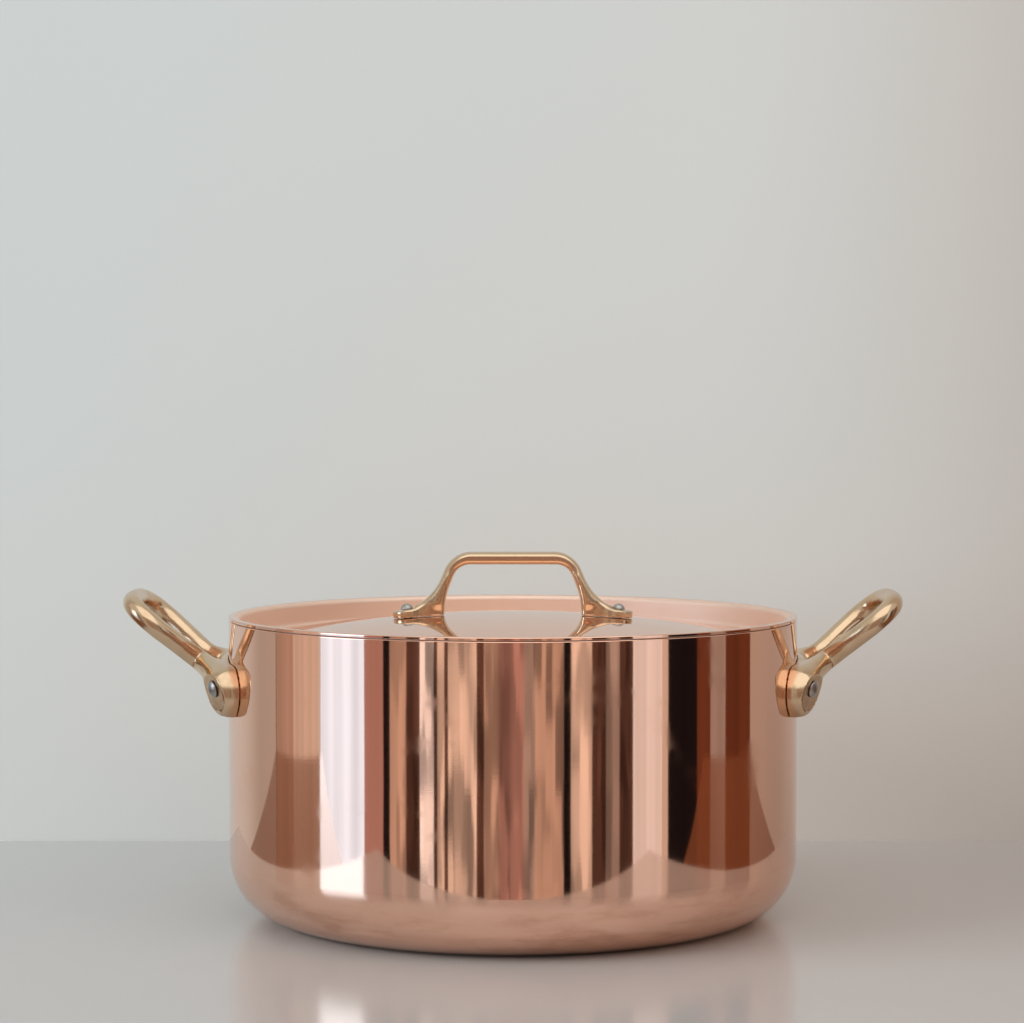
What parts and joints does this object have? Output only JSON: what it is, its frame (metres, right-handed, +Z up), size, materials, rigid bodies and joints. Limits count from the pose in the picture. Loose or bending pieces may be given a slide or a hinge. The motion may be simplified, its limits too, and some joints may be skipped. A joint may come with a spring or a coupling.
{
  "type": "stew pot",
  "caption": "Straight-sided copper stew pot with a steel lining, riveted cast bronze loop handles and a domed drop-in lid with an arched handle.",
  "frame": {"origin": "centre of the flat base, on the surface that the pot stands on", "axes": "+X through the right handle, +Y to the back, +Z up along the axis of the pot"},
  "size_m": [0.3278, 0.24, 0.1533],
  "materials": {
    "copper": "mirror-polished copper",
    "bronze": "polished cast bronze",
    "steel_lining": "satin stainless steel",
    "steel_rivet": "satin stainless steel"
  },
  "bodies": {
    "pot": {"pot_shell": "copper", "pot_lining": "steel_lining", "right_handle": "bronze", "right_handle_rivet_back": "steel_rivet", "right_handle_rivet_front": "steel_rivet", "left_handle": "bronze", "left_handle_rivet_front": "steel_rivet", "left_handle_rivet_back": "steel_rivet"},
    "lid": {"lid_shell": "copper", "lid_lining": "steel_lining", "lid_handle": "bronze", "lid_rivet_right": "steel_rivet", "lid_rivet_left": "steel_rivet"}
  },
  "joints": [
    {"name": "lid_lift", "type": "slide", "parent": "pot", "child": "lid", "axis": [0, 0, 1], "range_m": [0, 0.2]}
  ]
}
